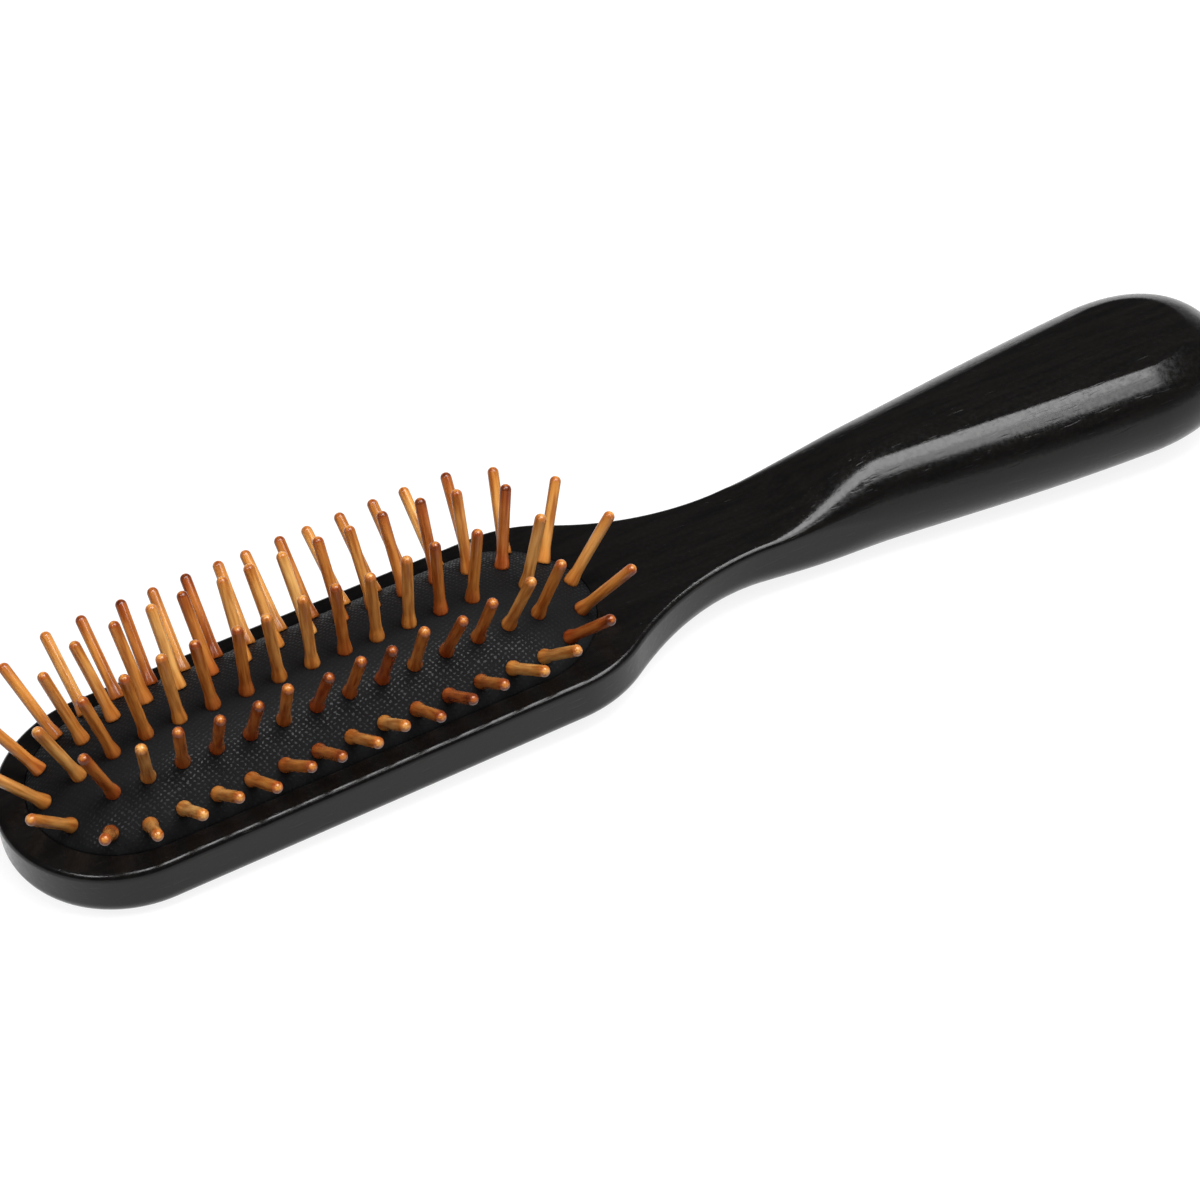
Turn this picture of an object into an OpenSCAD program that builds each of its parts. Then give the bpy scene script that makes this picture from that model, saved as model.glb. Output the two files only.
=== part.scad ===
// Wooden pin brush: one-piece hardwood body, domed air cushion, turned wooden pins.
// Millimetres. The brush lies on its back, pins up. +X runs along the brush to the handle.
// The origin is on the flat back of the head, below the middle of the cushion.

/* [Head] */
// Width of the head across the rim
head_w = 42.6; // [41:0.2:46]
// Thickness of the head
head_t = 10; // [9:0.5:13]
// Length of the head's straight middle part, between the centres of its round ends
straight_l = 69; // [63:1:80]
// Extra width of the rim at the free end
end_rim = 1.2; // [0:0.1:3]
// Rounding of the rim's top edge
rim_edge_r = 1.2; // [0.6:0.1:1.8]
// Rounding of the head's back edge
back_edge_r = 3.4; // [2:0.2:5]

/* [Neck] */
// Width of the neck at its narrowest
neck_w = 17.6; // [15:0.2:24]
// Rounding of the neck's back edge
neck_edge_r = 5.6; // [3:0.2:7]
// Radius of the shoulder where the head turns in to the neck
shoulder_r = 24; // [18:1:30]
// Angle that the shoulder turns through
shoulder_turn = 33; // [28:1:38]
// How far the shoulder starts beyond the straight part of the head
shoulder_start = 5.2; // [3:0.2:7]

/* [Handle] */
// Length from the neck's narrowest point to the widest point of the grip
grip_l = 83.5; // [70:0.5:100]
// Width of the grip at its widest
grip_w = 34; // [28:1:38]
// Thickness of the grip at its widest
grip_t = 21.5; // [18:0.5:26]
// How far the grip's middle lies above the middle of the head's thickness
grip_rise = 0.3; // [0:0.1:1]
// Length of the rounded butt beyond the grip's widest point
butt_l = 23.5; // [20:0.5:34]
// Length over which the flat neck swells into the full grip
swell_l = 26; // [20:1:36]

/* [Cushion] */
// Width of the cushion
cushion_w = 34; // [33:0.2:36]
// Height of the dome above the rim
dome_h = 7.9; // [6:0.1:9]
// How much shorter the dome's crown is at each end than its foot
crown_taper = 9.5; // [0:0.5:12]
// Thickness of the cushion's skin
skin_t = 2.2; // [2:0.1:2.6]
// Width of the cushion's foot flange, held in the groove
flange_w = 1.2; // [0.8:0.1:1.5]
// Thickness of the foot flange
flange_t = 1.4; // [1:0.1:1.8]
// Depth of the recess below the rim
recess_d = 4.6; // [4:0.1:5.5]
// Play between the cushion and the walls of its recess
cushion_play = 0.15; // [0.1:0.05:0.3]

/* [Pin field] */
// Spacing of the pins along a row
pin_pitch = 6; // [5:0.1:7]
// Distance of the outer rows from the cushion's edge
outer_inset = 2.7; // [2.4:0.1:3.2]
// Distance of the inner rows from the outer rows
row_gap = 6.3; // [5.6:0.1:6.8]
// Sideways lean of the outer pins
outer_lean = 50; // [40:1:52]
// Sideways lean of the inner pins
inner_lean = 27; // [20:1:32]
// How far single pins stray from the even lean
stray = 2; // [0:0.5:3]

/* [Pins] */
// Length of a pin outside the cushion
pin_l = 15.2; // [12:0.2:18]
// Diameter of the shaft
shaft_d = 2; // [1.6:0.05:2.2]
// Diameter of the flared foot
foot_d = 2.7; // [2.3:0.05:2.9]
// Length of the flare
flare_l = 3.2; // [2:0.1:4]
// Diameter of the neck that passes through the skin
pin_neck_d = 1.5; // [1.2:0.05:1.6]
// Diameter of the head behind the skin
pin_head_d = 3; // [2.8:0.05:3.1]
// Thickness of the head behind the skin
pin_head_t = 0.8; // [0.6:0.1:1]
// Play round a pin in its hole
pin_play = 0.05; // [0.03:0.01:0.1]

/* [Hidden] */
// Steps of the body's surface. An odd number of steps leaves a flat where each end touches a table
arc_steps = 6;
end_steps = 17;
// Steps of the dome, up its profile and round its ends
dome_steps = 9;
dome_end_steps = 20;
// Head
head_r = head_w / 2;
head_cx = straight_l / 2;
free_end_x = -head_cx - end_rim;
neck_r = neck_w / 2;
// The shoulder's convex arc runs tangent into the neck's concave arc
shoulder_x = head_cx + shoulder_start;
turn_drop = 1 - cos(shoulder_turn);
hollow_r = (head_r - neck_r) / turn_drop - shoulder_r;
shoulder_end_x = shoulder_x + shoulder_r * sin(shoulder_turn);
neck_x = shoulder_end_x + hollow_r * sin(shoulder_turn);
// Grip
grip_r = grip_w / 2;
grip_x = neck_x + grip_l;
grip_z = head_t / 2 + grip_rise;
grip_top = grip_z + grip_t / 2;
grip_bottom = grip_z - grip_t / 2;
swell_x = neck_x + 3;
// Share of the grip's half width that is rounded off, and how square the rounding is
grip_round = 0.9;
grip_square = 2.35;
// Recess and cushion
cushion_r = cushion_w / 2;
recess_floor = head_t - recess_d;
chamber_r = cushion_r - skin_t;
// Exponents of the dome's profile: flat in the middle, steep at the edge
dome_flat = 2.2;
dome_steep = 0.78;
// Pin field
outer_r = cushion_r - outer_inset;
inner_r = outer_r - row_gap;
end_turn = 29;
outer_half = floor((head_cx + 1.6) / pin_pitch);
inner_count = floor((head_cx + 4.6) / pin_pitch - 0.5);
centre_half = outer_half;
end_pin_x = [-(centre_half + 1.05) * pin_pitch, (centre_half + 0.7) * pin_pitch];
// Lengthwise lean along a row: degrees in proportion to the distance from the middle, and to its cube
outer_bend = [-14.7, 33.2];
inner_bend = [-1.5, 19.5];
centre_bend = [2.6, 13.2];
// Pins: how deep the foot sits in the skin, and the skin it grips
seat_d = 0.25;
seat_play = 0.1;
grip_skin = skin_t - 0.45;
wood = [0.075, 0.062, 0.058];
fabric = [0.16, 0.165, 0.175];
amber = [0.72, 0.40, 0.15];

// Pin sites: [x, distance from the long axis, sideways lean, lengthwise lean]
function along(x) = x / (head_cx + 7.5);
function bend(x, row) = row[0] * along(x) + row[1] * pow(along(x), 3);
function end_in(x) = pow(along(x), 6);
outer_sites = concat(
    [for (i = [-outer_half : outer_half])
        let (x = i * pin_pitch) [x, outer_r, outer_lean - 6 * end_in(x), bend(x, outer_bend)]],
    [for (s = [-1, 1], k = [2, 1])
        [s * (head_cx + outer_r * cos(k * end_turn)), outer_r * sin(k * end_turn),
            outer_lean * (k == 2 ? 0.86 : 0.53), s * (k == 2 ? 18 : 31)]]);
inner_sites = [for (s = [-1, 1], i = [0 : inner_count])
    let (x = s * (i + 0.5) * pin_pitch)
    [x, inner_r - 2 * end_in(x), inner_lean * (1 - 0.7 * end_in(x)), bend(x, inner_bend)]];
centre_x = [for (i = [-centre_half : centre_half - 1]) i * pin_pitch];
axis_sites = concat(
    [for (x = centre_x) [x, 0, 0, bend(x, centre_bend)]],
    [for (x = end_pin_x) [x, 0, 0, bend(x, inner_bend)]],
    [for (s = [-1, 1]) [s * (head_cx + outer_r), 0, 0, s * 36]]);
OUTER_NODES = [for (i = [0 : len(outer_sites) - 1]) str("outer_pins_", i + 1)];
INNER_NODES = [for (i = [0 : len(inner_sites) - 1]) str("inner_pins_", i + 1)];
AXIS_NODES = [for (i = [0 : len(axis_sites) - 1]) str("centre_pin_", i + 1)];

// Smooth step from 0 to 1
function ease(t) = let (u = min(max(t, 0), 1)) u * u * (3 - 2 * u);
function mix(a, b, t) = a + (b - a) * t;

// Half width of the body in plan at x
function half_w(x) =
    x <= shoulder_x ? head_r :
    x <= shoulder_end_x ?
        head_r - shoulder_r + sqrt(pow(shoulder_r, 2) - pow(x - shoulder_x, 2)) :
    x <= neck_x ?
        neck_r + hollow_r - sqrt(pow(hollow_r, 2) - pow(neck_x - x, 2)) :
    let (t = (x - neck_x) / grip_l)
        mix(neck_r, grip_r, mix(t, ease(t), 0.65) - 0.35 * pow(t, 6) * (1 - t));

// Heights of the body's top and back at x, and how far the round grip has taken over
function swell(x) = ease((x - swell_x) / swell_l);
function top_z(x) = mix(head_t, grip_top, swell(x));
function back_z(x) =
    let (past = x - shoulder_end_x - 7)
    mix(0, grip_bottom, mix(ease(past / (2 * swell_l)), ease(past / (grip_x - shoulder_end_x - 7)), 0.45));

// One section of the body: [inset from the plan outline, height], from the top to the back
function section(x, reach) =
    let (s = swell(x), up = top_z(x), down = back_z(x), mid = (up + down) / 2,
        n = mix(2, grip_square, s),
        top_in = mix(rim_edge_r, reach * grip_round, s), top_up = mix(rim_edge_r, up - mid, s),
        edge_r = mix(back_edge_r, neck_edge_r, ease((x - shoulder_end_x) / (neck_x - shoulder_end_x))),
        back_in = mix(edge_r, reach * grip_round, s), back_up = mix(edge_r, mid - down, s))
    concat(
        [for (k = [0 : arc_steps]) let (a = 90 * k / arc_steps)
            [top_in * (1 - pow(sin(a), 2 / n)), up - top_up * (1 - pow(cos(a), 2 / n))]],
        [for (k = [0 : arc_steps]) let (a = 90 * k / arc_steps)
            [back_in * (1 - pow(cos(a), 2 / n)), down + back_up * (1 - pow(sin(a), 2 / n))]]);

// Stations along the body, from the centre of the free end's arc to the grip's widest point
spine = concat(
    [free_end_x, 0, shoulder_x],
    [for (i = [1 : 6]) shoulder_x + shoulder_r * sin(shoulder_turn * i / 6)],
    [for (i = [5 : -1 : 1]) neck_x - hollow_r * sin(shoulder_turn * i / 6)],
    [neck_x, swell_x],
    [for (i = [1 : 8]) swell_x + swell_l * i / 8],
    [for (i = [1 : 10]) mix(swell_x + swell_l, grip_x, i / 10)]);
last = len(spine) - 1;
// Points round the plan outline: [station, direction x, direction y, reach]
function butt_reach(a) =
    1 / pow(pow(abs(cos(a)) / butt_l, grip_square) + pow(abs(sin(a)) / grip_r, grip_square), 1 / grip_square);
outline = concat(
    [for (k = [0 : last]) [k, 0, -1, half_w(spine[k])]],
    [for (i = [1 : end_steps - 1]) let (a = -90 + 180 * i / end_steps) [last, cos(a), sin(a), butt_reach(a)]],
    [for (k = [last : -1 : 0]) [k, 0, 1, half_w(spine[k])]],
    [for (i = [1 : end_steps - 1]) let (a = 90 + 180 * i / end_steps) [0, cos(a), sin(a), head_r]]);

module body_blank() {
    n = len(outline);
    m = 2 * (arc_steps + 1);
    rings = [for (p = outline, q = section(spine[p[0]], p[3]))
        [spine[p[0]] + p[1] * (p[3] - q[0]), p[2] * (p[3] - q[0]), q[1]]];
    tops = [for (x = spine) [x, 0, top_z(x)]];
    backs = [for (x = spine) [x, 0, back_z(x)]];
    top_0 = n * m;
    back_0 = top_0 + last + 1;
    faces = concat(
        [for (i = [0 : n - 1], j = [0 : m - 2]) let (a = i * m + j, b = ((i + 1) % n) * m + j) each
            [[a, b + 1, a + 1], [a, b, b + 1]]],
        [for (i = [0 : n - 1]) let (a = i * m, b = ((i + 1) % n) * m, k = outline[i][0], l = outline[(i + 1) % n][0])
            each k == l ? [[top_0 + k, b, a]] : [[top_0 + k, b, a], [top_0 + k, top_0 + l, b]]],
        [for (i = [0 : n - 1]) let (a = i * m + m - 1, b = ((i + 1) % n) * m + m - 1,
                k = outline[i][0], l = outline[(i + 1) % n][0])
            each k == l ? [[back_0 + k, a, b]] : [[back_0 + k, a, b], [back_0 + k, b, back_0 + l]]]);
    polyhedron(points = concat(rings, tops, backs), faces = faces, convexity = 6);
}

// Straight-sided space with round ends, used for the recess and its groove
module stadium(r, z0, z1) {
    translate([0, 0, z0]) linear_extrude(z1 - z0) {
        for (s = [-1, 1]) translate([s * head_cx, 0]) circle(r, $fn = 96);
        square([straight_l, 2 * r], center = true);
    }
}

module body() {
    color(wood) difference() {
        body_blank();
        stadium(cushion_r + cushion_play, recess_floor, head_t + 1);
        stadium(cushion_r + flange_w + cushion_play, recess_floor, recess_floor + flange_t + cushion_play);
    }
}

// Height of a dome above the rim at its level curve of radius r, for an edge at r_edge
function dome(r, r_edge, h) = h * pow(max(1 - pow(min(r / r_edge, 1), dome_flat), 0), dome_steep);
// Centre of the level curve's round end: the higher the curve, the shorter it is
function level_cx(r, r_edge) = head_cx - crown_taper * (1 - pow(r / r_edge, 2));
// Level curve that passes over x, y, found by halving
function level_at(x, y, lo, hi, n) =
    let (r = (lo + hi) / 2, out = norm([max(abs(x) - level_cx(r, cushion_r), 0), y]) > r)
    n == 0 ? r : level_at(x, y, out ? r : lo, out ? hi : r, n - 1);
function site_z(x, y) = head_t + dome(level_at(x, y, 0, cushion_r, 16), cushion_r, dome_h);

// Solid with a straight side, a domed top and round ends: the outside of the cushion, or the air inside it
module domed(r_edge, h, base_z) {
    levels = concat([[r_edge, base_z]],
        [for (i = [0 : dome_steps]) let (r = r_edge * cos(90 * i / dome_steps)) [r, head_t + dome(r, r_edge, h)]]);
    rows = len(levels) - 1;
    n = dome_end_steps + 3;
    start_x = head_cx - crown_taper;
    ring = function(level) let (c = level_cx(level[0], r_edge)) concat(
        [[start_x, -level[0], level[1]]],
        [for (i = [0 : dome_end_steps]) let (t = -90 + 180 * i / dome_end_steps)
            [c + level[0] * cos(t), level[0] * sin(t), level[1]]],
        [[start_x, level[0], level[1]]]);
    points = concat([for (k = [0 : rows - 1]) each ring(levels[k])], [[start_x, 0, levels[rows][1]]]);
    top = rows * n;
    sides = [for (k = [0 : rows - 2], i = [0 : n - 2]) let (a = k * n + i) each
        [[a, a + n + 1, a + 1], [a, a + n, a + n + 1]]];
    crown = [for (i = [0 : n - 2]) [(rows - 1) * n + i, top, (rows - 1) * n + i + 1]];
    cut = concat([for (k = [0 : rows - 1]) k * n], [top], [for (k = [rows - 1 : -1 : 0]) k * n + n - 1]);
    for (side = [0, 1]) mirror([side, 0, 0])
        polyhedron(points = points, faces = concat(sides, crown, [cut, [for (i = [0 : n - 1]) i]]), convexity = 4);
    profile = concat([for (v = levels) v], [for (k = [rows - 1 : -1 : 0]) [-levels[k][0], levels[k][1]]]);
    rotate([90, 0, 90]) translate([0, 0, -start_x]) linear_extrude(2 * start_x) polygon(profile);
}

module cushion_shell() {
    difference() {
        union() {
            domed(cushion_r, dome_h, recess_floor);
            stadium(cushion_r + flange_w, recess_floor, recess_floor + flange_t);
        }
        domed(chamber_r, dome_h - skin_t, recess_floor - 1);
    }
}

// Places a pin: its foot on the dome at the site, its axis leaning by the site's two angles
module at_site(site, side, number) {
    lean_y = side * (site[2] + stray * sin(number * 137 + 40)) + (side == 0 ? stray * sin(number * 97) : 0);
    lean_x = site[3] + stray * sin(number * 211 + side * 75);
    y = side * site[1];
    translate([site[0], y, site_z(site[0], y)])
        rotate([0, atan(norm([tan(lean_x), tan(lean_y)])), atan2(tan(lean_y), tan(lean_x))])
            translate([0, 0, -seat_d]) children();
}

// Hole, outer seat for the foot and inner seat for the head, along the pin's axis
module pin_hole() {
    hole_r = pin_neck_d / 2 + pin_play;
    head_seat_r = pin_head_d / 2 + seat_play;
    rotate_extrude($fn = 24) polygon([
        [0, -grip_skin - 2.6], [head_seat_r, -grip_skin - 2.6], [head_seat_r, -grip_skin],
        [hole_r, -grip_skin], [hole_r, 0], [foot_d / 2 + seat_play, 0],
        [foot_d / 2 + seat_play, 2.4], [0, 2.4]]);
}

module cushion() {
    color(fabric) difference() {
        cushion_shell();
        for (i = [0 : len(outer_sites) - 1], s = [-1, 1]) at_site(outer_sites[i], s, i) pin_hole();
        for (i = [0 : len(inner_sites) - 1], s = [-1, 1]) at_site(inner_sites[i], s, i + 40) pin_hole();
        for (i = [0 : len(axis_sites) - 1]) at_site(axis_sites[i], 0, i + 80) pin_hole();
    }
}

// Turned pin: head, neck, flared foot, shaft and round tip. z = 0 is the underside of the foot
module pin() {
    shaft_r = shaft_d / 2;
    flare = foot_d / 2 - shaft_r;
    tip_z = pin_l + seat_d;
    color(amber) rotate_extrude($fn = 24) polygon(concat(
        [[0, -grip_skin - pin_head_t], [pin_head_d / 2 - 0.25, -grip_skin - pin_head_t],
            [pin_head_d / 2, -grip_skin - pin_head_t + 0.25], [pin_head_d / 2, -grip_skin],
            [pin_neck_d / 2, -grip_skin], [pin_neck_d / 2, 0]],
        [for (k = [0 : 4]) let (t = k / 4) [shaft_r + flare * (1 - ease(t)), t * flare_l]],
        [for (k = [0 : 5]) let (a = 90 * k / 5) [shaft_r * cos(a), tip_z - shaft_r * (1 - sin(a))]]));
}

module outer_pins(i) { for (s = [-1, 1]) at_site(outer_sites[i], s, i) pin(); }
module inner_pins(i) { for (s = [-1, 1]) at_site(inner_sites[i], s, i + 40) pin(); }
module centre_pin(i) { at_site(axis_sites[i], 0, i + 80) pin(); }

body();
cushion();
for (i = [0 : len(outer_sites) - 1]) outer_pins(i);
for (i = [0 : len(inner_sites) - 1]) inner_pins(i);
for (i = [0 : len(axis_sites) - 1]) centre_pin(i);
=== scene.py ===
# Wooden pin brush: black-stained hardwood body, domed air cushion and 78 turned, lacquered pins.
# Metres, in the frame of the CAD model: the brush lies on its back, pins up, +X along the handle.
import math
import random

import bmesh
import bpy
from mathutils import Matrix, Vector, kdtree, noise


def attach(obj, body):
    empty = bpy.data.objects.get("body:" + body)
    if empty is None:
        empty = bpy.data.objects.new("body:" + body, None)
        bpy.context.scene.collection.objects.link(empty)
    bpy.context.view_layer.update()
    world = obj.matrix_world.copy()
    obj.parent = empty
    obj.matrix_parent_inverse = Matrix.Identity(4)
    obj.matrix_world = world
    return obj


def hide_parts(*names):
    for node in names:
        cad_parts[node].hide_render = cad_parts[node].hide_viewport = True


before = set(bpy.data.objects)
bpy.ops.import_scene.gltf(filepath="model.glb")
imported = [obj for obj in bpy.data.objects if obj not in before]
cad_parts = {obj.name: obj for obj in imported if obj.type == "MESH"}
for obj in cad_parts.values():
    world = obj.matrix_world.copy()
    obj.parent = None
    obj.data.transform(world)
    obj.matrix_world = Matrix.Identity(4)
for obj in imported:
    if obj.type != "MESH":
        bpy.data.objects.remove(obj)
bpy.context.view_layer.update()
MM = 0.001
scene = bpy.context.scene


# Floor and studio. A pale tabletop touches the two places where the brush rests: the lower edge of
# the head's free end and the underside of the grip. It shows white and keeps the contact shadow.
head_contact = Vector((-54 * MM, 0, 0))
grip_contact = Vector((165 * MM, 0, -5.45 * MM))
slope = math.atan2(head_contact.z - grip_contact.z, grip_contact.x - head_contact.x)
floor_half, floor_gap = 30, 0.05 * MM


def add_object(name, bm):
    """Turns a finished bmesh into an object of the scene."""
    mesh = bpy.data.meshes.new(name)
    bm.to_mesh(mesh)
    bm.free()
    piece = bpy.data.objects.new(name, mesh)
    scene.collection.objects.link(piece)
    return piece


def open_nodes(owner):
    """Node tree of a material or of the world."""
    owner.use_nodes = True
    return owner.node_tree.nodes, owner.node_tree.links


def add_node(kind, values):
    """Adds a node to the tree that is open, with values for some of its sockets."""
    node = nodes.new(kind)
    for socket, value in values.items():
        node.inputs[socket].default_value = value
    return node


def set_stops(ramp_node, *stops):
    """Gives a colour ramp its stops, in rising order: each is a position and a colour."""
    elements = ramp_node.color_ramp.elements
    for index, (position, colour) in enumerate(stops):
        stop = elements[index] if index < len(elements) else elements.new(position)
        stop.position = position
        stop.color = (*colour, 1)


bm = bmesh.new()
bmesh.ops.create_grid(bm, x_segments=1, y_segments=1, size=floor_half)
bmesh.ops.rotate(bm, verts=bm.verts, cent=(0, 0, 0), matrix=Matrix.Rotation(slope, 3, "Y"))
bmesh.ops.translate(bm, verts=bm.verts, vec=head_contact - Vector((0, 0, floor_gap)))
floor = add_object("floor", bm)

# Seen directly or mirrored, the paper is white: a glow is added to its matt grey. The light that it
# bounces up at the brush comes from the grey alone.
paper = bpy.data.materials.new("floor_white")
nodes, links = open_nodes(paper)
nodes.clear()
matt = add_node("ShaderNodeBsdfDiffuse", {"Color": (0.18, 0.18, 0.18, 1)})
glow = add_node("ShaderNodeEmission", {"Color": (1, 1, 1, 1), "Strength": 0.87})
path = nodes.new("ShaderNodeLightPath")
camera_or_glossy = nodes.new("ShaderNodeMath")
camera_or_glossy.operation = "MAXIMUM"
seen = nodes.new("ShaderNodeMath")
seen.operation = "MAXIMUM"
links.new(path.outputs["Is Camera Ray"], camera_or_glossy.inputs[0])
links.new(path.outputs["Is Glossy Ray"], camera_or_glossy.inputs[1])
links.new(camera_or_glossy.outputs[0], seen.inputs[0])
links.new(path.outputs["Is Transmission Ray"], seen.inputs[1])
both = nodes.new("ShaderNodeAddShader")
links.new(matt.outputs[0], both.inputs[0])
links.new(glow.outputs[0], both.inputs[1])
shown = nodes.new("ShaderNodeMixShader")
links.new(seen.outputs[0], shown.inputs[0])
links.new(matt.outputs[0], shown.inputs[1])
links.new(both.outputs[0], shown.inputs[2])
surface = nodes.new("ShaderNodeOutputMaterial")
links.new(shown.outputs[0], surface.inputs["Surface"])
floor.data.materials.append(paper)

# The room is grey round the horizon and dark overhead, so that the flat top stays deep black.
world = bpy.data.worlds.new("studio")
scene.world = world
nodes, links = open_nodes(world)
nodes.clear()
where = nodes.new("ShaderNodeTexCoord")
split = nodes.new("ShaderNodeSeparateXYZ")
links.new(where.outputs["Generated"], split.inputs[0])
height = nodes.new("ShaderNodeValToRGB")
height.color_ramp.interpolation = "EASE"
set_stops(height, (0.12, (0.35, 0.35, 0.355)), (0.3, (0.05, 0.05, 0.053)))
links.new(split.outputs["Z"], height.inputs[0])
background = add_node("ShaderNodeBackground", {"Strength": 1})
links.new(height.outputs["Color"], background.inputs["Color"])
sky = nodes.new("ShaderNodeOutputWorld")
links.new(background.outputs[0], sky.inputs["Surface"])

# A large softbox hangs over the brush, with a dimmer one below it towards the camera, so that
# highlights start sharply and fade downwards. A small one faces the free end.
for name, energy, size, location, turn in (
        ("softbox_key", 20.5, (0.94, 0.54), (0.34, -0.12, 1.2), (6, 12)),
        ("softbox_low", 5.2, (0.55, 0.36), (0.58, -0.6, 1.13), (32, 25)),
        ("softbox_end", 4, (0.28, 0.3), (-0.6, -0.15, 1.1), (8, -30))):
    lamp = bpy.data.lights.new(name, "AREA")
    lamp.shape = "RECTANGLE"
    lamp.size, lamp.size_y = size
    lamp.energy = energy
    holder = bpy.data.objects.new(name, lamp)
    scene.collection.objects.link(holder)
    holder.location = location
    holder.rotation_euler = (math.radians(turn[0]), math.radians(turn[1]), 0)
    holder.visible_camera = False

lens, film_width = 84, 36
pan, look_down, roll = -26.73, 44.97, -3.33
camera_data = bpy.data.cameras.new("camera")
camera_data.lens = lens
camera_data.sensor_width = film_width
camera = bpy.data.objects.new("camera", camera_data)
scene.collection.objects.link(camera)
camera.matrix_world = (
    Matrix.Translation((-0.10275, -0.31181, 0.35327))
    @ Matrix.Rotation(math.radians(pan), 4, "Z")
    @ Matrix.Rotation(math.radians(90 - look_down), 4, "X")
    @ Matrix.Rotation(math.radians(roll), 4, "Z"))
scene.camera = camera
scene.view_settings.view_transform = "Standard"


# Body: head, neck and handle are one piece of hardwood, spindle-moulded and carved. The head is a
# flat plate with a crisp rim and a rounded back edge; the neck melts into an oval grip with a blunt
# butt. Sizes are in millimetres until each point is placed, and all but the crown's are the CAD's.
head_r, head_t, head_cx, end_rim = 21.3, 10, 34.5, 1.2
free_end_x = -head_cx - end_rim
neck_r, shoulder_r, shoulder_turn, shoulder_start = 8.8, 24, math.radians(33), 5.2
shoulder_x = head_cx + shoulder_start
hollow_r = (head_r - neck_r) / (1 - math.cos(shoulder_turn)) - shoulder_r
shoulder_end_x = shoulder_x + shoulder_r * math.sin(shoulder_turn)
neck_x = shoulder_end_x + hollow_r * math.sin(shoulder_turn)
grip_l, grip_r, grip_t, grip_rise, butt_l = 83.5, 17, 21.5, 0.3, 23.5
grip_x = neck_x + grip_l
grip_top = head_t / 2 + grip_rise + grip_t / 2
grip_bottom = head_t / 2 + grip_rise - grip_t / 2
# The top swells from the neck on, the back from a little beyond the shoulder and more slowly.
swell_x, swell_l = neck_x + 3, 26
back_x, back_blend = shoulder_end_x + 7, 0.45
rim_edge_r, back_edge_r, neck_edge_r, rim_fade = 1.2, 3.4, 5.6, 0.6
grip_round, grip_square, grip_ease, grip_lean = 0.9, 2.35, 0.65, 0.35
# The crown: the grip's top is nearly flat out to a soft ridge on each side. How square the rounding
# beyond it is, how far the ridge drops, and where it lies at the neck and at the grip, in degrees.
crown_square, crown_drop, crown_cut = 2.15, 0.45, (12, 30)
arc_steps, end_steps = 24, 64
flat_shares = (0, 0.3, 0.55, 0.75, 0.89, 0.97)
side_shares = (0.06, 0.35, 0.65, 0.94)


def ease(t):
    u = min(max(t, 0), 1)
    return u * u * (3 - 2 * u)


def mix(a, b, t):
    return a + (b - a) * t


def half_width(x):
    """Half the body's width in plan: straight head, shoulder arc, hollow arc and widening grip."""
    if x <= shoulder_x:
        return head_r
    if x <= shoulder_end_x:
        return head_r - shoulder_r + math.sqrt(shoulder_r**2 - (x - shoulder_x) ** 2)
    if x <= neck_x:
        return neck_r + hollow_r - math.sqrt(hollow_r**2 - (neck_x - x) ** 2)
    t = (x - neck_x) / grip_l
    return mix(neck_r, grip_r, mix(t, ease(t), grip_ease) - grip_lean * t**6 * (1 - t))


def section(x, reach):
    """Section of the body at x, from the top's spine to the back's: inset from the outline, height."""
    s = ease((x - swell_x) / swell_l)
    up = mix(head_t, grip_top, s)
    past = x - back_x
    back_swell = mix(ease(past / (2 * swell_l)), ease(past / (grip_x - back_x)), back_blend)
    down = mix(0, grip_bottom, back_swell)
    middle = (up + down) / 2
    power, top_power = 2 / mix(2, grip_square, s), 2 / mix(2, crown_square, s)
    edge_r = mix(back_edge_r, neck_edge_r, ease((x - shoulder_end_x) / (neck_x - shoulder_end_x)))
    top_in = mix(rim_edge_r, reach * grip_round, s**rim_fade)
    top_base = mix(up - rim_edge_r, middle, s)
    back_in = mix(edge_r, reach * grip_round, s)
    back_up = mix(edge_r, middle - down, s)
    cut = math.radians(s * mix(*crown_cut, (x - neck_x) / grip_l))
    drop = crown_drop * s
    ridge_in = top_in * (1 - max(math.sin(cut), 0) ** top_power)
    top_up = (up - drop - top_base) / math.cos(cut) ** top_power
    top, back = [], []
    for k in range(arc_steps + 1):
        a = mix(cut, math.pi / 2, k / arc_steps)
        z = top_base + top_up * max(math.cos(a), 0) ** top_power
        top.append((top_in * (1 - math.sin(a) ** top_power), z))
        a = math.pi / 2 * (k / arc_steps)
        z = down + back_up * (1 - math.sin(a) ** power)
        back.append((back_in * (1 - max(math.cos(a), 0) ** power), z))
    crown = [(mix(reach, ridge_in, t), up - drop * t * t) for t in flat_shares]
    side = [(0, mix(top[-1][1], back[0][1], t)) for t in side_shares]
    under = [(mix(reach, back_in, t), down) for t in reversed(flat_shares)]
    return crown + top + side + back + under


def butt_reach(a):
    """Distance from the grip's widest point to the butt's outline, in the direction a."""
    along, across = abs(math.cos(a)) / butt_l, abs(math.sin(a)) / grip_r
    return (along**grip_square + across**grip_square) ** (-1 / grip_square)


def stations(start, end, step):
    count = max(1, round((end - start) / step))
    return [mix(start, end, k / count) for k in range(count)]


def wrapped_grid(rings):
    """Grid of quads whose columns take the places of the rings, with the edges that meet welded."""
    mesh = bmesh.new()
    columns, rows = len(rings) - 1, len(rings[0]) - 1
    bmesh.ops.create_grid(mesh, x_segments=columns, y_segments=rows, size=1)
    for v in mesh.verts:
        v.co = rings[round((v.co.x + 1) / 2 * columns)][round((v.co.y + 1) / 2 * rows)]
    bmesh.ops.remove_doubles(mesh, verts=mesh.verts, dist=2e-6)
    bmesh.ops.recalc_face_normals(mesh, faces=mesh.faces)
    return mesh


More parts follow.
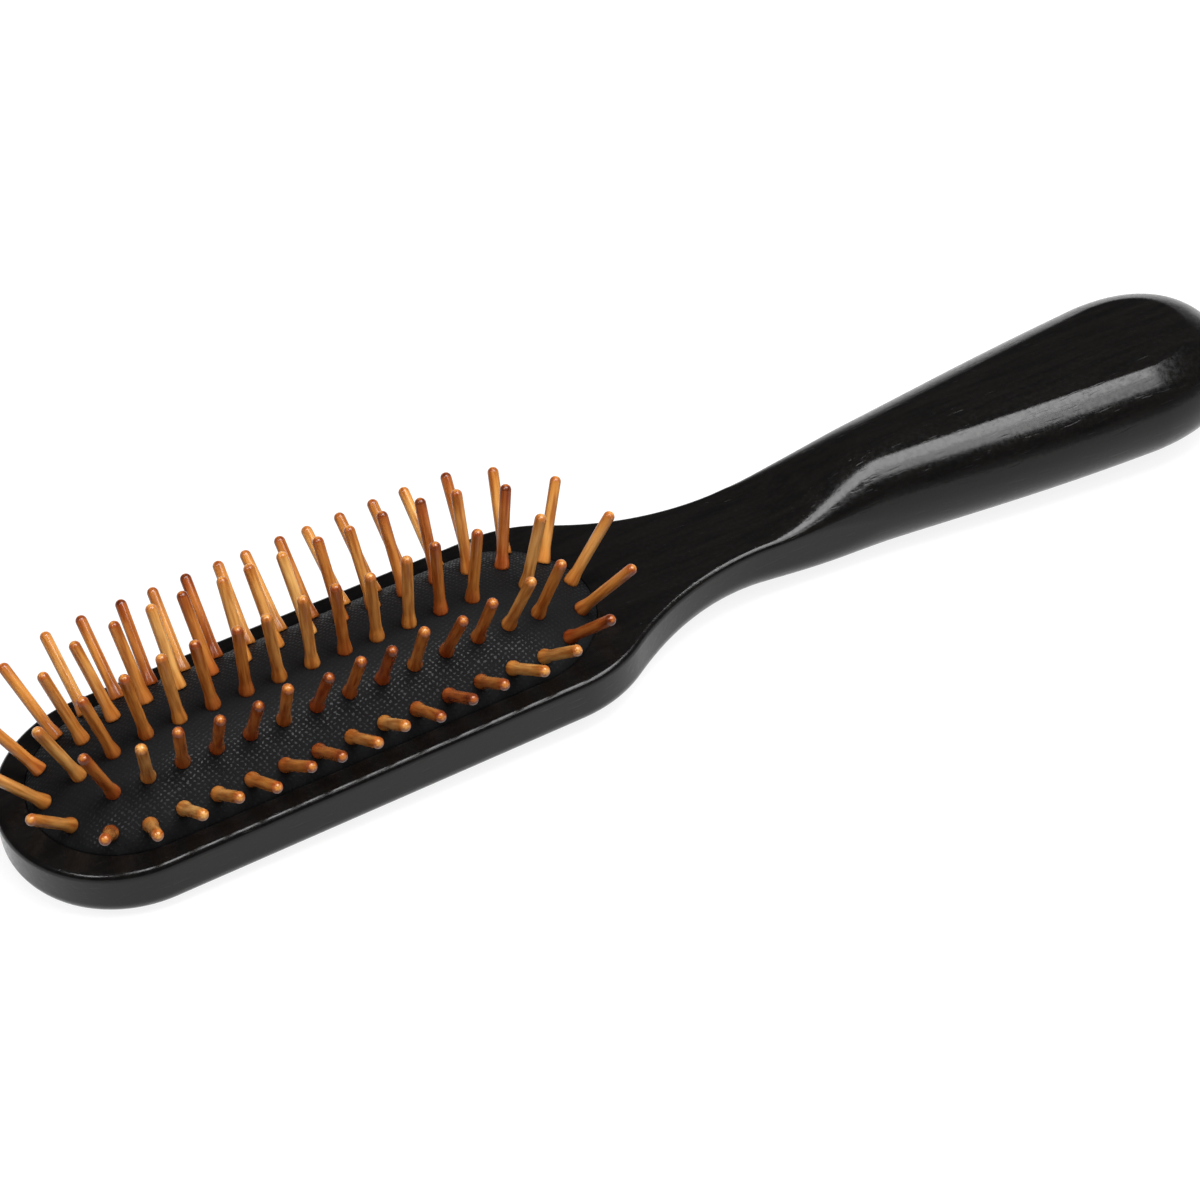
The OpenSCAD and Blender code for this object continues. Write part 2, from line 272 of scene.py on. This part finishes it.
# The outline goes all round in plan: near side, butt, far side, free end. Each station has its place
# on the spine, its direction outwards and how far it reaches.
spine = stations(free_end_x, shoulder_x, step=5)
spine += stations(shoulder_x, shoulder_end_x, step=1)
spine += stations(shoulder_end_x, neck_x, step=1.4)
spine += stations(neck_x, grip_x, step=1.6)
spine.append(grip_x)
end_turns = [math.radians(-90 + 180 * k / end_steps) for k in range(1, end_steps)]
outline = [(x, 0, -1, half_width(x)) for x in spine]
outline += [(grip_x, math.cos(a), math.sin(a), butt_reach(a)) for a in end_turns]
outline += [(x, 0, 1, half_width(x)) for x in reversed(spine)]
outline += [(free_end_x, -math.cos(a), -math.sin(a), head_r) for a in end_turns]
outline.append(outline[0])
rings = []
for x, dx, dy, reach in outline:
    ring = []
    for inset, z in section(x, reach):
        ring.append(Vector((x + dx * (reach - inset), dy * (reach - inset), z)) * MM)
    rings.append(ring)
body = add_object("wood_body", wrapped_grid(rings))

# The recess for the cushion, with a groove round its floor for the cushion's foot flange.
cushion_r, play, recess_d = 17, 0.15, 4.6
flange_w, flange_t = 1.2, 1.4
recess_floor = head_t - recess_d
cutter_above, cutter_below, cutter_steps = 3, 0.001, 128
crease = math.radians(40)


def cut_stadium(piece, radius, low, high):
    """Cuts a straight-sided pocket with round ends out of the piece."""
    mesh = bmesh.new()
    bmesh.ops.create_cone(mesh, cap_ends=True, segments=cutter_steps, radius1=radius, radius2=radius,
        depth=high - low)
    # Half a facet's turn leaves no corner in the middle, where the two ends are drawn apart.
    half_facet = Matrix.Rotation(math.pi / cutter_steps, 3, "Z")
    bmesh.ops.rotate(mesh, verts=mesh.verts, cent=(0, 0, 0), matrix=half_facet)
    for v in mesh.verts:
        v.co.x += math.copysign(head_cx, v.co.x)
        v.co.z += (low + high) / 2
    bmesh.ops.scale(mesh, verts=mesh.verts, vec=(MM, MM, MM))
    cutter = add_object("cutter", mesh)
    cut = piece.modifiers.new("pocket", "BOOLEAN")
    cut.object = cutter
    cut.operation = "DIFFERENCE"
    cut.solver = "EXACT"
    carved = piece.evaluated_get(bpy.context.evaluated_depsgraph_get())
    carved_mesh = bpy.data.meshes.new_from_object(carved)
    piece.modifiers.clear()
    piece.data = carved_mesh
    bpy.data.objects.remove(cutter)


groove_r, groove_top = cushion_r + flange_w + play, recess_floor + flange_t + play
cut_stadium(body, cushion_r + play, recess_floor, head_t + cutter_above)
cut_stadium(body, groove_r, recess_floor - cutter_below, groove_top)
for polygon in body.data.polygons:
    polygon.use_smooth = True
body.data.set_sharp_from_angle(angle=crease)

# Black stain with a trace of brown grain, under a satin lacquer that is a little uneven.
stain = bpy.data.materials.new("black_stained_wood")
nodes, links = open_nodes(stain)
shader = nodes["Principled BSDF"]
shader.inputs["Specular IOR Level"].default_value = 0.26
place = nodes.new("ShaderNodeTexCoord")
grain_stretch = add_node("ShaderNodeMapping", {"Scale": (70, 620, 620)})
links.new(place.outputs["Object"], grain_stretch.inputs["Vector"])
grain = add_node("ShaderNodeTexNoise", {"Scale": 1, "Detail": 5, "Roughness": 0.6})
links.new(grain_stretch.outputs[0], grain.inputs["Vector"])
tone = nodes.new("ShaderNodeValToRGB")
set_stops(tone, (0.3, (0.0032, 0.003, 0.0029)), (0.72, (0.0066, 0.0058, 0.0053)))
links.new(grain.outputs["Fac"], tone.inputs["Fac"])
links.new(tone.outputs["Color"], shader.inputs["Base Color"])
mottle = add_node("ShaderNodeTexNoise", {"Scale": 1300, "Detail": 3})
links.new(place.outputs["Object"], mottle.inputs["Vector"])
gloss = add_node("ShaderNodeMapRange",
    {"From Min": 0.35, "From Max": 0.65, "To Min": 0.14, "To Max": 0.26})
links.new(mottle.outputs["Fac"], gloss.inputs["Value"])
links.new(gloss.outputs["Result"], shader.inputs["Roughness"])
# Open pores: short grooves along the grain.
pore_stretch = add_node("ShaderNodeMapping", {"Scale": (170, 1700, 1700)})
links.new(place.outputs["Object"], pore_stretch.inputs["Vector"])
pores = add_node("ShaderNodeTexNoise", {"Scale": 1, "Detail": 2})
links.new(pore_stretch.outputs[0], pores.inputs["Vector"])
grooves = add_node("ShaderNodeMapRange",
    {"From Min": 0.6, "From Max": 0.72, "To Min": 1, "To Max": 0})
grooves.interpolation_type = "SMOOTHSTEP"
links.new(pores.outputs["Fac"], grooves.inputs["Value"])
surface_height = add_node("ShaderNodeMath", {1: 1.1})
surface_height.operation = "MULTIPLY_ADD"
links.new(mottle.outputs["Fac"], surface_height.inputs[0])
links.new(grooves.outputs["Result"], surface_height.inputs[2])
relief = add_node("ShaderNodeBump", {"Strength": 1, "Distance": 0.000015})
links.new(surface_height.outputs[0], relief.inputs["Height"])
links.new(relief.outputs["Normal"], shader.inputs["Normal"])
body.data.materials.clear()
body.data.materials.append(stain)
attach(body, "root")
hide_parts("body")


# Pins: turned beech or birch, lacquered. Each has a flared foot on the cushion, a straight shaft and
# a round tip, and a neck through the cushion's skin with a head behind it. The lacquer runs from
# pale honey to reddish brown from pin to pin; a ring round the tip is darkened by painted shade.
pin_l, seat_d, shaft_r, foot_r, flare_l = 15.2, 0.25, 1.0, 1.35, 3.2
pin_neck_r, pin_head_r, pin_head_t, pin_chamfer, held_skin = 0.75, 1.5, 0.8, 0.25, 1.75
foot_base_r, foot_base_h = 1.2, 0.1
flare_steps, tip_steps, lathe_steps, shaft_rings = 8, 9, 28, (5, 8, 11)
tip_z = pin_l + seat_d
pin_end_z = -held_skin - pin_head_t
pin_profile = [(0, pin_end_z), (pin_head_r - pin_chamfer, pin_end_z)]
pin_profile += [(pin_head_r, pin_end_z + pin_chamfer), (pin_head_r, -held_skin)]
pin_profile += [(pin_neck_r, -held_skin), (pin_neck_r, 0), (foot_base_r, 0)]
for k in range(flare_steps + 1):
    flared_r = shaft_r + (foot_r - shaft_r) * (1 - ease(k / flare_steps))
    pin_profile.append((flared_r, foot_base_h + (flare_l - foot_base_h) * k / flare_steps))
pin_profile += [(shaft_r, z) for z in shaft_rings]
for k in range(tip_steps + 1):
    a = math.radians(90 * k / tip_steps)
    pin_profile.append((shaft_r * math.cos(a), tip_z - shaft_r * (1 - math.sin(a))))

bm = bmesh.new()
points = [bm.verts.new((r, 0, z)) for r, z in pin_profile]
edges = [bm.edges.new(pair) for pair in zip(points, points[1:])]
bmesh.ops.spin(bm, geom=points + edges, cent=(0, 0, 0), axis=(0, 0, 1), angle=2 * math.pi,
    steps=lathe_steps, use_merge=True)
bmesh.ops.remove_doubles(bm, verts=bm.verts, dist=1e-4)
bmesh.ops.recalc_face_normals(bm, faces=bm.faces)
# The strip for the wood's fibres: turns round the pin, by millimetres along it.
grain_strip = bm.loops.layers.uv.new("grain")
for face in bm.faces:
    face.smooth = True
    middle = face.calc_center_median()
    for loop in face.loops:
        around = math.atan2(loop.vert.co.y, loop.vert.co.x) / (2 * math.pi)
        if middle.y < 0 and around > 0.25:
            around -= 1
        loop[grain_strip].uv = (around, loop.vert.co.z)
pin_template = bpy.data.meshes.new("pin_template")
bm.to_mesh(pin_template)
bm.free()

lacquer = bpy.data.materials.new("lacquered_pin_wood")
nodes, links = open_nodes(lacquer)
shader = nodes["Principled BSDF"]
shader.inputs["Specular IOR Level"].default_value = 0.36
shader.inputs["Roughness"].default_value = 0.2
tint = nodes.new("ShaderNodeAttribute")
tint.attribute_name = "tint"
honey, amber = (0.8, 0.45, 0.14), (0.61, 0.25, 0.05)
# The last colour is reached only in the ring below the tip, where it is painted shade round the cap.
red_brown, ring_shade_brown = (0.37, 0.092, 0.018), (0.16, 0.034, 0.008)
darkest_shaft = 0.8
shades = nodes.new("ShaderNodeValToRGB")
set_stops(shades, (0, honey), (0.4, amber), (darkest_shaft, red_brown), (1, ring_shade_brown))
links.new(tint.outputs["Fac"], shades.inputs["Fac"])
strip = nodes.new("ShaderNodeUVMap")
strip.uv_map = "grain"
fibre_stretch = add_node("ShaderNodeMapping", {"Scale": (8, 0.13, 1)})
links.new(strip.outputs["UV"], fibre_stretch.inputs["Vector"])
fibre = add_node("ShaderNodeTexNoise", {"Scale": 1, "Detail": 3})
fibre.noise_dimensions = "4D"
links.new(fibre_stretch.outputs[0], fibre.inputs["Vector"])
grain_seed = nodes.new("ShaderNodeAttribute")
grain_seed.attribute_name = "grain_seed"
links.new(grain_seed.outputs["Fac"], fibre.inputs["W"])
fibre_tone = nodes.new("ShaderNodeValToRGB")
set_stops(fibre_tone, (0.36, (0.56, 0.4, 0.3)), (0.6, (1, 1, 1)))
links.new(fibre.outputs["Fac"], fibre_tone.inputs["Fac"])
coloured = add_node("ShaderNodeMix", {0: 1})
coloured.data_type = "RGBA"
coloured.blend_type = "MULTIPLY"
links.new(shades.outputs["Color"], coloured.inputs[6])
links.new(fibre_tone.outputs["Color"], coloured.inputs[7])
links.new(coloured.outputs[2], shader.inputs["Base Color"])


def pin_foot_and_axis(corners):
    """Foot's middle and direction of the CAD pin that has these corners."""
    # The head behind the skin is the pin's lowest part; the tip is the point furthest from it.
    low = min(corners, key=lambda c: c.z)
    tip = max(corners, key=lambda c: (c - low).length)
    axis = (tip - low).normalized()
    for band in (0.2 * MM, 0.2 * MM, 0.2 * MM, 0.05 * MM):
        reach = max((tip - c).dot(axis) for c in corners)
        end = [c for c in corners if (tip - c).dot(axis) > reach - band]
        end_middle = sum(end, Vector()) / len(end)
        tip = max(corners, key=lambda c: (c - end_middle).dot(axis))
        axis = (tip - end_middle).normalized()
    return tip - axis * (pin_l + seat_d) * MM, axis


# Tints run from 0, honey, to 1, the darkest brown: darker towards the foot, and darker still in the
# ring below the tip, which is painted shade.
foot_tint, foot_fade = 0.24, 5
painted_ring_shade, ring_low, ring_fade_in, ring_high, ring_fade_out = 0.4, 1.4, 0.8, 0.28, 0.22
random.seed(7)
feet = []
pin_nodes = sorted((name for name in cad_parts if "pin" in name),
    key=lambda name: (name.split("_")[0], int(name.rsplit("_", 1)[1])))
for name in pin_nodes:
    corners = [v.co.copy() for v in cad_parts[name].data.vertices]
    sides = (0,) if name.startswith("centre") else (-1, 1)
    bm = bmesh.new()
    tints, seeds = [], []
    for side in sides:
        foot, axis = pin_foot_and_axis([c for c in corners if side == 0 or c.y * side > 0])
        feet.append(foot + axis * seat_d * MM)
        spin = Matrix.Rotation(random.uniform(0, 2 * math.pi), 4, "Z")
        lean = axis.to_track_quat("Z", "Y").to_matrix().to_4x4()
        one = pin_template.copy()
        one.transform(Matrix.Translation(foot) @ lean @ spin @ Matrix.Scale(MM, 4))
        bm.from_mesh(one)
        bpy.data.meshes.remove(one)
        shade = darkest_shaft * random.betavariate(1.6, 1.9)
        seed = random.uniform(0, 50)
        for v in pin_template.vertices:
            shaft_tint = min(shade + foot_tint * (1 - ease(v.co.z / foot_fade)), darkest_shaft)
            # Painted shade: a darker ring round the tip's cap, stopping short of its very end.
            from_tip = v.co.z - tip_z
            ring = ease((from_tip + ring_low) / ring_fade_in)
            ring *= 1 - ease((from_tip + ring_high) / ring_fade_out)
            tints.append(min(shaft_tint + painted_ring_shade * ring, 1))
            seeds.append(seed)
    pin = add_object(name.replace("pin", "wooden_pin"), bm)
    pin.data.attributes.new("tint", "FLOAT", "POINT").data.foreach_set("value", tints)
    pin.data.attributes.new("grain_seed", "FLOAT", "POINT").data.foreach_set("value", seeds)
    pin.data.materials.append(lacquer)
    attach(pin, "root")
    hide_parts(name)
bpy.data.meshes.remove(pin_template)


# Cushion: a black rubber dome with a woven face, held up by the air sealed under it. It is taut,
# shorter at the crown than at the foot, and dips a little where each pin's foot bears on it.
dome_h, crown_taper, dome_flat, dome_full = 7.9, 9.5, 2.2, 0.78
dome_steps, straight_steps, turn_steps = 56, 130, 110


def dome_z(r):
    return head_t + dome_h * max(1 - (min(r / cushion_r, 1)) ** dome_flat, 0) ** dome_full


levels = [(0, recess_floor), (cushion_r * 0.6, recess_floor), (cushion_r, recess_floor)]
levels.append((cushion_r, head_t - 1.2))
for k in range(dome_steps + 1):
    r = cushion_r * math.cos(math.pi / 2 * k / dome_steps)
    levels.append((r, dome_z(r)))
# The plan goes round as the body's does: share of the straight part, then direction outwards.
straight = [k / straight_steps for k in range(-straight_steps, straight_steps + 1)]
turns = [math.radians(-90 + 180 * k / turn_steps) for k in range(1, turn_steps)]
plan = [(t, 0, -1) for t in straight]
plan += [(1, math.cos(a), math.sin(a)) for a in turns]
plan += [(-t, 0, 1) for t in straight]
plan += [(-1, -math.cos(a), -math.sin(a)) for a in turns]
plan.append(plan[0])
rings = []
for share, dx, dy in plan:
    ring = []
    for r, z in levels:
        reach = head_cx - crown_taper * (1 - (r / cushion_r) ** 2)
        ring.append(Vector((share * reach + dx * r, dy * r, z)) * MM)
    rings.append(ring)
bm = wrapped_grid(rings)

# Dips and waves of the face, which fade out at its foot; the waves only lower it.
dip_d, dip_r, wave_d, waves_per_m = 0.16, 1.7, 0.07, 160
face_low, face_fade = head_t - 0.3, 1.5
foot_finder = kdtree.KDTree(len(feet))
for index, foot in enumerate(feet):
    foot_finder.insert(foot, index)
foot_finder.balance()
for v in bm.verts:
    if v.co.z > face_low * MM:
        to_foot = foot_finder.find(v.co)[2]
        dip = dip_d * math.exp(-(to_foot / (dip_r * MM)) ** 2)
        wave = wave_d * noise.noise(v.co * waves_per_m)
        v.co.z -= (dip + wave + wave_d) * MM * min(1, (v.co.z / MM - face_low) / face_fade)
for face in bm.faces:
    face.smooth = True
cushion = add_object("air_cushion", bm)

# The weave: warp and weft ripple across each other, worn in patches, and their knuckles are glossier.
warp_pitch, weft_pitch, weave_angle = 0.0012, 0.00095, math.radians(22)
rubber = bpy.data.materials.new("woven_black_rubber")
nodes, links = open_nodes(rubber)
shader = nodes["Principled BSDF"]
shader.inputs["Specular IOR Level"].default_value = 0.14
place = nodes.new("ShaderNodeTexCoord")
wander = add_node("ShaderNodeTexNoise", {"Scale": 800, "Detail": 2})
links.new(place.outputs["Object"], wander.inputs["Vector"])
shift = add_node("ShaderNodeVectorMath", {1: (0.0008, 0.0008, 0)})
shift.operation = "MULTIPLY_ADD"
links.new(wander.outputs["Color"], shift.inputs[0])
links.new(place.outputs["Object"], shift.inputs[2])
weave_turn = add_node("ShaderNodeMapping", {"Rotation": (0, 0, weave_angle),
    "Scale": (2 * math.pi / warp_pitch, 2 * math.pi / weft_pitch, 1)})
links.new(shift.outputs[0], weave_turn.inputs["Vector"])
axes = nodes.new("ShaderNodeSeparateXYZ")
links.new(weave_turn.outputs[0], axes.inputs[0])
warp = nodes.new("ShaderNodeMath")
warp.operation = "COSINE"
links.new(axes.outputs["X"], warp.inputs[0])
weft = nodes.new("ShaderNodeMath")
weft.operation = "COSINE"
links.new(axes.outputs["Y"], weft.inputs[0])
weave = nodes.new("ShaderNodeMath")
weave.operation = "MULTIPLY"
links.new(warp.outputs[0], weave.inputs[0])
links.new(weft.outputs[0], weave.inputs[1])
uneven = add_node("ShaderNodeTexNoise", {"Scale": 1900, "Detail": 1})
links.new(place.outputs["Object"], uneven.inputs["Vector"])
worn = add_node("ShaderNodeMath", {1: 2.2, 2: -1.1})
worn.operation = "MULTIPLY_ADD"
links.new(uneven.outputs["Fac"], worn.inputs[0])
threads_up = nodes.new("ShaderNodeMath")
threads_up.operation = "ADD"
links.new(weave.outputs[0], threads_up.inputs[0])
links.new(worn.outputs[0], threads_up.inputs[1])
knuckles = add_node("ShaderNodeMapRange", {"From Min": 0.15, "From Max": 0.9})
knuckles.interpolation_type = "SMOOTHSTEP"
links.new(threads_up.outputs[0], knuckles.inputs["Value"])
thread_gloss = add_node("ShaderNodeMapRange", {"To Min": 0.72, "To Max": 0.31})
links.new(knuckles.outputs["Result"], thread_gloss.inputs["Value"])
links.new(thread_gloss.outputs["Result"], shader.inputs["Roughness"])
threads = nodes.new("ShaderNodeValToRGB")
set_stops(threads, (0.25, (0.0034, 0.0036, 0.0041)), (1, (0.006, 0.0066, 0.0075)))
links.new(knuckles.outputs["Result"], threads.inputs["Fac"])
links.new(threads.outputs["Color"], shader.inputs["Base Color"])
relief = add_node("ShaderNodeBump", {"Strength": 0.5, "Distance": 0.00005})
links.new(knuckles.outputs["Result"], relief.inputs["Height"])
links.new(relief.outputs["Normal"], shader.inputs["Normal"])
cushion.data.materials.append(rubber)
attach(cushion, "root")
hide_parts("cushion")
